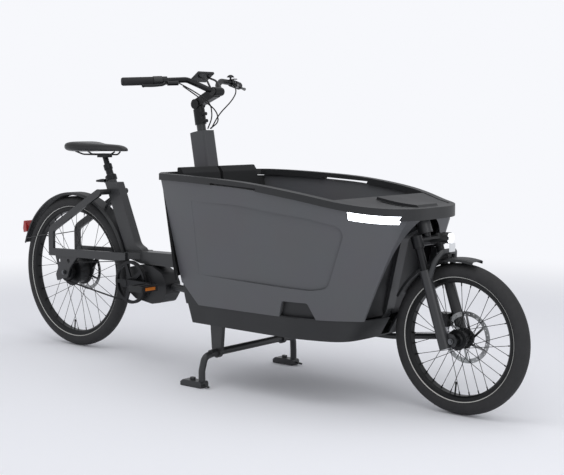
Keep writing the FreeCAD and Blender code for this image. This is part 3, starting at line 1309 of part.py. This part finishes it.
# ---- stand --------------------------------------------------------------------------------
def stand():
    """The centre stand: a cross tube, two bent legs, and flat feet with a heel peg."""
    x, z = STAND_AXIS.x, STAND_AXIS.z
    knee = V(x - 6, STAND_FOOT_Y, 26)
    points = [V(x, -232, z), V(x, 232, z)]
    bar = rod(points[0], points[1], STAND_TUBE_RADIUS)
    pieces = []
    for side in SIDES:
        bend = [V(x, side * 205, z), V(x, side * 262, z - 8), V(knee.x, side * STAND_FOOT_Y, 62),
                V(knee.x, side * STAND_FOOT_Y, 12)]
        pieces.append(pipe(bend, 13, [0, 26, 20, 0]))
        pad = slab([(x - 101, 0), (x + 8, 0), (x + 8, 24), (x - 88, 24), (x - 101, 14)],
                   side * STAND_FOOT_Y - 20, side * STAND_FOOT_Y + 20, [3, 5, 8, 8, 3])
        pad = pad.fuse(block(x - 62, x - 44, side * STAND_FOOT_Y - 6, side * STAND_FOOT_Y + 6,
                             20, 34))
        peg = rod(V(x, side * STAND_FOOT_Y, 12), V(x + 34, side * (STAND_FOOT_Y + 6), 7), 4)
        pieces += [pad, peg]
    return bar.multiFuse(pieces)


os.makedirs("parts", exist_ok=True)
make_wheels()
make_frame()
make_saddle()
make_drive()
make_box()
make_steering()
make_fork()
save("stand", stand())
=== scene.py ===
import math
import bpy
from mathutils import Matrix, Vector


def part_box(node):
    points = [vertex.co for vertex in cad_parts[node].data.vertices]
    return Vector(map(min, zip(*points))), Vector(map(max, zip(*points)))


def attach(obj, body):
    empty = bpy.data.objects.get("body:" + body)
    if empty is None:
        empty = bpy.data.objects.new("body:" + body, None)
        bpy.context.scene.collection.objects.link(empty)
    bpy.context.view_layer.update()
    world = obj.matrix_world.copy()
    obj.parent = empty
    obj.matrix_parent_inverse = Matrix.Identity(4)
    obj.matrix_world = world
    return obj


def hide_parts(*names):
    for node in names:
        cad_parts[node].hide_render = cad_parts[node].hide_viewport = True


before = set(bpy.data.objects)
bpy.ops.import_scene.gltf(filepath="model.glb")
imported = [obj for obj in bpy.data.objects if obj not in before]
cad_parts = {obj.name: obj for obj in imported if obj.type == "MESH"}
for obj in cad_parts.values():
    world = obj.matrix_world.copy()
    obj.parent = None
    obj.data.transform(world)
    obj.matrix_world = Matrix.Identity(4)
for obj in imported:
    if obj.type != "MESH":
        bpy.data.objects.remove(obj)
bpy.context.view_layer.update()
mm = 0.001


def linear(hexCode):  # sRGB hex to linear colour
    channels = [int(hexCode[i:i + 2], 16) / 255 for i in (0, 2, 4)]
    return [c / 12.92 if c <= 0.04045 else ((c + 0.055) / 1.055) ** 2.4 for c in channels] + [1]


# a node with its settings and its inputs' values or links, handed back as one of its outputs
def add(tree, kind, settings=None, inputs=None, out=0):
    node = tree.nodes.new("ShaderNode" + kind)
    for key, value in (settings or {}).items():
        setattr(node, key, value)
    for key, value in (inputs or {}).items():
        if isinstance(value, bpy.types.NodeSocket):
            tree.links.new(value, node.inputs[key])
        else:
            node.inputs[key].default_value = value
    return node.outputs[out]


def start(name):
    material = bpy.data.materials.new(name)
    material.use_nodes = True
    tree = material.node_tree
    return material, tree, tree.nodes["Principled BSDF"], add(tree, "TexCoord", out="Object")


def dress(node, material):
    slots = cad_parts[node].data.materials
    slots.clear()
    slots.append(material)


camera = {"place": (3.0777, -3.3982, 0.9906), "yaw": 129.78, "pitch": -5.6, "lens": 74.5, "sensor": 36}


def placeCamera():
    data = bpy.data.cameras.new("studioCamera")
    data.sensor_width = camera["sensor"]
    data.lens = camera["lens"]
    eye = bpy.data.objects.new("studioCamera", data)
    eye.location = camera["place"]
    yaw, pitch = math.radians(camera["yaw"]), math.radians(camera["pitch"])
    level = math.cos(pitch)
    ahead = Vector((math.cos(yaw) * level, math.sin(yaw) * level, math.sin(pitch)))
    eye.rotation_euler = ahead.to_track_quat("-Z", "Y").to_euler()
    bpy.context.collection.objects.link(eye)
    bpy.context.scene.camera = eye
    bpy.context.scene.view_settings.view_transform = "Standard"


# broad patches of slightly other shade and polish, as handling and dust leave; scale is patches per metre
wear = {"scale": 7.0, "detail": 4.0, "spread": 0.14, "grainDetail": 2.0, "grainStrength": 0.6}


# grain is the width of the surface's grain and depth its height, both in mm
def finish(name, color, rough, metal=0.0, grain=0.8, depth=0.02, vary=0.12, coat=0.0):
    material, tree, shader, place = start(name)
    fine = add(tree, "TexNoise", inputs={"Vector": place, "Scale": 1 / (grain * mm),
                                         "Detail": wear["grainDetail"]})
    broad = add(tree, "TexNoise", inputs={"Vector": place, "Scale": wear["scale"], "Detail": wear["detail"]})
    shade = add(tree, "Mix", {"data_type": "RGBA", "blend_type": "MULTIPLY"},
                {0: vary, 6: linear(color), 7: broad.node.outputs["Color"]}, out=2)
    worn = add(tree, "Math", {"operation": "MULTIPLY_ADD"},
               {0: broad, 1: wear["spread"], 2: rough - wear["spread"] / 2})
    bump = add(tree, "Bump", inputs={"Height": fine, "Distance": depth * mm, "Strength": wear["grainStrength"]})
    tree.links.new(shade, shader.inputs["Base Color"])
    tree.links.new(worn, shader.inputs["Roughness"])
    tree.links.new(bump, shader.inputs["Normal"])
    shader.inputs["Metallic"].default_value = metal
    shader.inputs["Coat Weight"].default_value = coat
    return material


# each finish, then the nodes that wear it
finishes = {
    # thermoformed ABS sheet, coloured through: flat graphite with a soft, even sheen
    "thermoformedAbs": ({"color": "56575a", "rough": 0.46, "grain": 0.5, "vary": 0.1},
                        ["left_side_panel", "right_side_panel"]),
    # cast aluminium under satin powder: a little darker and duller than the panels
    "powderCoatedCasting": ({"color": "46474a", "rough": 0.5, "grain": 0.5}, ["steering_housing"]),
    # injection-moulded polypropylene with a spark-eroded texture: near black, and matt in the light
    "mouldedPolypropylene": ({"color": "1d1e20", "rough": 0.5, "grain": 1.0, "depth": 0.05},
                             ["base_tray", "box_rim", "front_hood", "rear_mudguard", "front_mudguard",
                              "motor", "twist_shifter", "battery", "display"]),
    # pressed EVA foam lining: the darkest and dullest surface, with an open grain
    "pressedFoamLiner": ({"color": "151617", "rough": 0.75, "grain": 1.6, "depth": 0.12}, ["box_liner"]),
    # powder-coated steel and aluminium tube: dark grey with a thin gloss over it
    "powderCoatedTube": ({"color": "2c2d2f", "rough": 0.42, "grain": 0.6, "depth": 0.01, "coat": 0.15},
                         ["main_frame", "rear_stays", "fork_lowers", "stand", "steering_column",
                          "steering_rod"]),
    # black anodised forgings and castings: satin, with narrow metallic highlights
    "anodisedAluminium": ({"color": "202123", "rough": 0.36, "metal": 0.55, "grain": 0.4, "depth": 0.01},
                          ["rear_hub", "front_hub", "stem", "handlebar", "seat_clamp", "seat_lever",
                           "seatpost", "crankset", "chainring", "fork_crown", "brake_masters",
                           "brake_lever_right", "brake_lever_left", "rear_caliper", "front_caliper",
                           "sprocket", "rod_yoke", "bell", "bell_lever"]),
    # extruded rim, anodised black: a shade darker than the forgings
    "anodisedExtrusion": ({"color": "1a1b1c", "rough": 0.4, "metal": 0.5}, ["rear_rim", "front_rim"]),
    # ground stainless brake disc: bright, finely brushed steel
    "groundStainless": ({"color": "a3a4a5", "rough": 0.3, "metal": 1.0, "grain": 0.3, "depth": 0.01},
                        ["rear_disc", "front_disc"]),
    # drawn wire, blackened: thin dark lines that catch a little light
    "blackenedWire": ({"color": "2a2a2b", "rough": 0.35, "metal": 0.8}, ["rear_spokes", "front_spokes"]),
    # moulded rubber: dull, with a coarse grip
    "mouldedRubber": ({"color": "202022", "rough": 0.8, "grain": 1.8, "depth": 0.25}, ["grips", "belt"]),
    # extruded PVC over the brake hoses: smooth black
    "extrudedPvc": ({"color": "151516", "rough": 0.5}, ["control_cables"]),
    # coated fabric over foam: dull black with a soft grain
    "coatedFabric": ({"color": "1b1c1e", "rough": 0.85, "grain": 1.2, "depth": 0.2},
                     ["bench_backrests", "bench_seat"]),
    # turned steel, bare: mid grey and fairly bright
    "turnedSteel": ({"color": "6f7072", "rough": 0.35, "metal": 1.0},
                    ["rear_axle", "front_axle", "steering_bearings"]),
    # moulded red acrylic lens: deep red under a clear gloss
    "mouldedRedAcrylic": ({"color": "a01512", "rough": 0.25, "coat": 0.6}, ["rear_light"]),
}

# ribDepth, blockHeight, ribPitch, halfRing and lean, the width in which a groove slants by one block, are in mm
tread = {"ribDepth": 12, "blockHeight": 2.5, "ribPitch": 10.13, "lean": 44.9, "halfRing": 1.1,
         "groove": -0.35, "ribGap": -0.6, "mottleScale": 60.0, "mottleDetail": 5.0,
         "dark": "1c1c1d", "light": "2b2b2c", "ring": "c9c9c4", "rough": 0.72}
tyres = {"rear_tyre": {"name": "rearTyreRubber", "ringRadius": 0.2895, "blocks": 84},
         "front_tyre": {"name": "frontTyreRubber", "ringRadius": 0.2135, "blocks": 66}}


# vulcanised rubber: dull black blocks cut by slanted grooves, and a pale reflective ring on each side
def tyreRubber(node, name, ringRadius, blocks):
    material, tree, shader, place = start(name)
    low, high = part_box(node)
    hub = (Vector(low) + Vector(high)) / 2
    crown = (high[2] - low[2]) / 2
    local = add(tree, "VectorMath", {"operation": "SUBTRACT"}, {0: place, 1: hub[:]})
    x, y, z = add(tree, "SeparateXYZ", inputs={0: local}).node.outputs
    xx = add(tree, "Math", {"operation": "MULTIPLY"}, {0: x, 1: x})
    zz = add(tree, "Math", {"operation": "MULTIPLY"}, {0: z, 1: z})
    square = add(tree, "Math", {"operation": "ADD"}, {0: xx, 1: zz})
    radius = add(tree, "Math", {"operation": "SQRT"}, {0: square})
    side = add(tree, "Math", {"operation": "ABSOLUTE"}, {0: y})

    angle = add(tree, "Math", {"operation": "ARCTAN2"}, {0: z, 1: x})
    slant = add(tree, "Math", {"operation": "MULTIPLY"}, {0: side, 1: 2 * math.pi / (tread["lean"] * mm)})
    turn = add(tree, "Math", {"operation": "MULTIPLY_ADD"}, {0: angle, 1: float(blocks), 2: slant})
    wave = add(tree, "Math", {"operation": "SINE"}, {0: turn})
    grooves = add(tree, "Math", {"operation": "GREATER_THAN"}, {0: wave, 1: tread["groove"]})
    across = add(tree, "Math", {"operation": "MULTIPLY"}, {0: side, 1: 2 * math.pi / (tread["ribPitch"] * mm)})
    ripple = add(tree, "Math", {"operation": "SINE"}, {0: across})
    ribs = add(tree, "Math", {"operation": "GREATER_THAN"}, {0: ripple, 1: tread["ribGap"]})
    onTread = add(tree, "Math", {"operation": "GREATER_THAN"}, {0: radius, 1: crown - tread["ribDepth"] * mm})
    blocksCut = add(tree, "Math", {"operation": "MULTIPLY"}, {0: grooves, 1: ribs})
    height = add(tree, "Math", {"operation": "MULTIPLY"}, {0: blocksCut, 1: onTread})
    bump = add(tree, "Bump", inputs={"Height": height, "Distance": tread["blockHeight"] * mm, "Strength": 1.0})

    fromRing = add(tree, "Math", {"operation": "SUBTRACT"}, {0: radius, 1: ringRadius})
    gap = add(tree, "Math", {"operation": "ABSOLUTE"}, {0: fromRing})
    ring = add(tree, "Math", {"operation": "LESS_THAN"}, {0: gap, 1: tread["halfRing"] * mm})
    mottle = add(tree, "TexNoise", inputs={"Vector": place, "Scale": tread["mottleScale"],
                                           "Detail": tread["mottleDetail"]})
    rubber = add(tree, "Mix", {"data_type": "RGBA"},
                 {0: mottle, 6: linear(tread["dark"]), 7: linear(tread["light"])}, out=2)
    shade = add(tree, "Mix", {"data_type": "RGBA"}, {0: ring, 6: rubber, 7: linear(tread["ring"])}, out=2)
    tree.links.new(shade, shader.inputs["Base Color"])
    tree.links.new(bump, shader.inputs["Normal"])
    shader.inputs["Roughness"].default_value = tread["rough"]
    return material


# 1 inside a box at centre that reaches so far each way, and 0 outside it
def within(tree, place, centre, reach):
    offset = add(tree, "VectorMath", {"operation": "SUBTRACT"}, {0: place, 1: centre})
    far = add(tree, "VectorMath", {"operation": "ABSOLUTE"}, {0: offset})
    mask = 1.0
    for part, edge in zip(add(tree, "SeparateXYZ", inputs={0: far}).node.outputs, reach):
        inside = add(tree, "Math", {"operation": "LESS_THAN"}, {0: part, 1: edge})
        mask = add(tree, "Math", {"operation": "MULTIPLY"}, {0: inside, 1: mask})
    return mask


# inset and outboard place the reflectors from the pedal's box, and reach is half a reflector's size
pedal = {"nylon": {"color": "1e1f20", "rough": 0.6, "grain": 1.0, "depth": 0.08}, "amber": "e8821c",
         "inset": 1.5 * mm, "outboard": 9.5 * mm, "reach": (3.2 * mm, 26.5 * mm, 6.2 * mm)}


# moulded glass-filled nylon: dull black, with an amber prismatic reflector in each long edge
def pedalNylon(node):
    material = finish(node + "Nylon", **pedal["nylon"])
    tree = material.node_tree
    color = tree.nodes["Principled BSDF"].inputs["Base Color"]
    place = add(tree, "TexCoord", out="Object")
    low, high = (Vector(corner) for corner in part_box(node))
    centre = (low + high) / 2
    y = centre.y + math.copysign(pedal["outboard"], centre.y)
    front, back = (within(tree, place, (x, y, centre.z), pedal["reach"])
                   for x in (low.x + pedal["inset"], high.x - pedal["inset"]))
    amber = add(tree, "Math", {"operation": "MAXIMUM"}, {0: front, 1: back})
    nylon = color.links[0].from_socket
    shade = add(tree, "Mix", {"data_type": "RGBA"}, {0: amber, 6: nylon, 7: linear(pedal["amber"])}, out=2)
    tree.links.new(shade, color)
    return material


# the lens is placed from the lamp's front and top, and the plate from its front and bottom; the plate's share
# is how much of the lens's glow is painted on the reflector plate as its reflection
headlight = {"housing": {"color": "1b1c1d", "rough": 0.4, "grain": 0.8}, "glow": "f6f9ff", "strength": 2.5,
             "lensBack": 6.5 * mm, "lensDown": 19 * mm, "lensReach": (4.2 * mm, 16 * mm, 16.5 * mm),
             "plateBack": 3 * mm, "plateUp": 14.3 * mm, "plateReach": (4 * mm, 16 * mm, 14.4 * mm),
             "paintedPlateGlowShare": 0.25}


# moulded ABS lamp: a satin black housing, a lit white lens, and a reflector plate below it with a faint painted
# glow that stands in for its reflection
def headlightAbs():
    material = finish("headlightHousing", **headlight["housing"])
    tree = material.node_tree
    shader = tree.nodes["Principled BSDF"]
    place = add(tree, "TexCoord", out="Object")
    low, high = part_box("headlight")
    lens = within(tree, place, (high[0] - headlight["lensBack"], 0, high[2] - headlight["lensDown"]),
                  headlight["lensReach"])
    plate = within(tree, place, (high[0] - headlight["plateBack"], 0, low[2] + headlight["plateUp"]),
                   headlight["plateReach"])
    # the reflector plate is no lamp: its faint glow, a share of the lens's, is a painted reflection
    paintedPlateGlow = add(tree, "Math", {"operation": "MULTIPLY"}, {0: plate, 1: headlight["paintedPlateGlowShare"]})
    lit = add(tree, "Math", {"operation": "MAXIMUM"}, {0: lens, 1: paintedPlateGlow})
    level = add(tree, "Math", {"operation": "MULTIPLY"}, {0: lit, 1: headlight["strength"]})
    shader.inputs["Emission Color"].default_value = linear(headlight["glow"])
    tree.links.new(level, shader.inputs["Emission Strength"])
    return material


ledBar = {"glow": "f4f8ff", "strength": 5.0, "frostScale": 300.0, "frostShare": 0.1, "rough": 0.3}


# frosted acrylic over a row of LEDs: an even cool white bar
def frostedAcrylic():
    material, tree, shader, place = start("frostedAcrylic")
    frost = add(tree, "TexNoise", inputs={"Vector": place, "Scale": ledBar["frostScale"]})
    level = add(tree, "Math", {"operation": "MULTIPLY_ADD"},
                {0: frost, 1: ledBar["frostShare"] * ledBar["strength"], 2: ledBar["strength"]})
    shader.inputs["Base Color"].default_value = linear(ledBar["glow"])
    shader.inputs["Emission Color"].default_value = linear(ledBar["glow"])
    tree.links.new(level, shader.inputs["Emission Strength"])
    shader.inputs["Roughness"].default_value = ledBar["rough"]
    return material


# stations run from the tail to the nose, as shares of the length, half width and height
cover = {"stations": [(0.0, 0.55, 0.72), (0.04, 0.86, 0.90), (0.14, 1.0, 1.0), (0.28, 0.94, 0.95),
                      (0.42, 0.62, 0.84), (0.56, 0.37, 0.76), (0.72, 0.26, 0.72), (0.88, 0.22, 0.68),
                      (0.97, 0.17, 0.50), (1.0, 0.08, 0.32)],
         "around": 20, "roll": 0.7, "crown": 0.75, "skirt": 0.12, "tuck": 0.1, "dip": 6 * mm, "fill": 0.9,
         "vinyl": {"color": "1b1b1c", "rough": 0.42, "grain": 1.1, "depth": 0.15, "coat": 0.1}}


# the padded cover: a lofted shell, broad behind and narrow at the nose, with rolled edges
def saddleCover():
    low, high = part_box("saddle")
    length, half, height = high[0] - low[0], (high[1] - low[1]) / 2, high[2] - low[2]
    around = cover["around"]
    verts, faces = [], []
    for along, width, top in cover["stations"]:
        crest = low[2] + height * top
        skirt = low[2] + height * (cover["skirt"] + cover["tuck"] * (1 - width))
        for k in range(around):
            turn = 2 * math.pi * k / around
            side, up = math.cos(turn), math.sin(turn)
            roll = math.copysign(abs(side) ** cover["roll"], side)
            rise = (crest - skirt) / 2 * math.copysign(abs(up) ** cover["crown"], up)
            dip = cover["dip"] * max(0, up) * (1 - side * side) * width  # shallow channel along the middle
            verts.append((low[0] + length * along, half * width * roll, (crest + skirt) / 2 + rise - dip))
    rows = len(cover["stations"])
    for i in range(rows - 1):
        for k in range(around):
            a, b = i * around + k, i * around + (k + 1) % around
            faces.append((a, b, b + around, a + around))
    faces.append(tuple(range(around))[::-1])
    faces.append(tuple((rows - 1) * around + k for k in range(around)))
    mesh = bpy.data.meshes.new("saddleCover")
    mesh.from_pydata(verts, [], faces)
    mesh.shade_smooth()
    # embossed vinyl: a low sheen over a fine leathery grain
    mesh.materials.append(finish("embossedVinyl", **cover["vinyl"]))
    piece = bpy.data.objects.new("saddleCover", mesh)
    bpy.context.collection.objects.link(piece)
    subdivide = piece.modifiers.new("smooth", "SUBSURF")
    subdivide.levels = subdivide.render_levels = 2
    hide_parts("saddle")
    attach(piece, "seatpost")


# the floor fades to the backdrop's colour between two distances in metres; sky is the world's light
studio = {"paper": "f3f4f8", "backdrop": "f7f8fc", "fadeStart": 2.0, "fadeEnd": 4.5, "sky": 0.72,
          "floorSize": 80, "floorZ": -1 * mm, "rough": 0.9, "specular": 0.1}
lamps = {"overhead": {"place": (0.4, -0.6, 3.6), "target": (0, 0, 0.4), "size": 3.0, "power": 38},
         "frontFill": {"place": (3.5, -1.0, 1.8), "target": (0.5, 0, 0.5), "size": 2.0, "power": 14}}


def studioFloor():
    bpy.ops.mesh.primitive_plane_add(size=studio["floorSize"], location=(0, 0, studio["floorZ"]))
    floor = bpy.context.object
    floor.name = "studioFloor"
    # matt background paper, pale and even
    material, tree, shader, place = start("backgroundPaper")
    shader.inputs["Base Color"].default_value = linear(studio["paper"])
    shader.inputs["Roughness"].default_value = studio["rough"]
    shader.inputs["Specular IOR Level"].default_value = studio["specular"]
    away = add(tree, "VectorMath", {"operation": "LENGTH"}, {0: place}, out="Value")
    fade = add(tree, "MapRange", {"interpolation_type": "SMOOTHSTEP"},
               {0: away, 1: studio["fadeStart"], 2: studio["fadeEnd"]})
    glow = add(tree, "Emission", inputs={"Color": linear(studio["backdrop"]), "Strength": 1.0})
    blend = add(tree, "MixShader", inputs={0: fade, 1: shader.outputs[0], 2: glow})
    tree.links.new(blend, tree.nodes["Material Output"].inputs["Surface"])
    floor.data.materials.append(material)


def studioWorld():
    world = bpy.data.worlds.new("studioLight")
    bpy.context.scene.world = world
    world.use_nodes = True
    tree = world.node_tree
    back = tree.nodes["Background"]
    back.inputs["Color"].default_value = linear(studio["backdrop"])
    straight = add(tree, "LightPath", out="Is Camera Ray")
    seen = add(tree, "Math", {"operation": "MAXIMUM"},
               {0: straight, 1: straight.node.outputs["Is Transmission Ray"]})
    level = add(tree, "Math", {"operation": "MULTIPLY_ADD"}, {0: seen, 1: 1 - studio["sky"], 2: studio["sky"]})
    tree.links.new(level, back.inputs["Strength"])


def studioLamp(name, place, target, size, power):
    data = bpy.data.lights.new(name, "AREA")
    data.size = size
    data.energy = power
    piece = bpy.data.objects.new(name, data)
    piece.location = place
    piece.rotation_euler = (Vector(target) - Vector(place)).to_track_quat("-Z", "Y").to_euler()
    bpy.context.collection.objects.link(piece)


placeCamera()
print("camera placed")
for name, (values, wearers) in finishes.items():
    material = finish(name, **values)
    for node in wearers:
        dress(node, material)
for node, values in tyres.items():
    dress(node, tyreRubber(node, **values))
for node in ("pedal_right", "pedal_left"):
    dress(node, pedalNylon(node))
dress("headlight", headlightAbs())
dress("box_lamps", frostedAcrylic())
print("finishes applied")
saddleCover()
print("saddle cover lofted")
studioFloor()
studioWorld()
for name, values in lamps.items():
    studioLamp(name, **values)
print("studio lit")
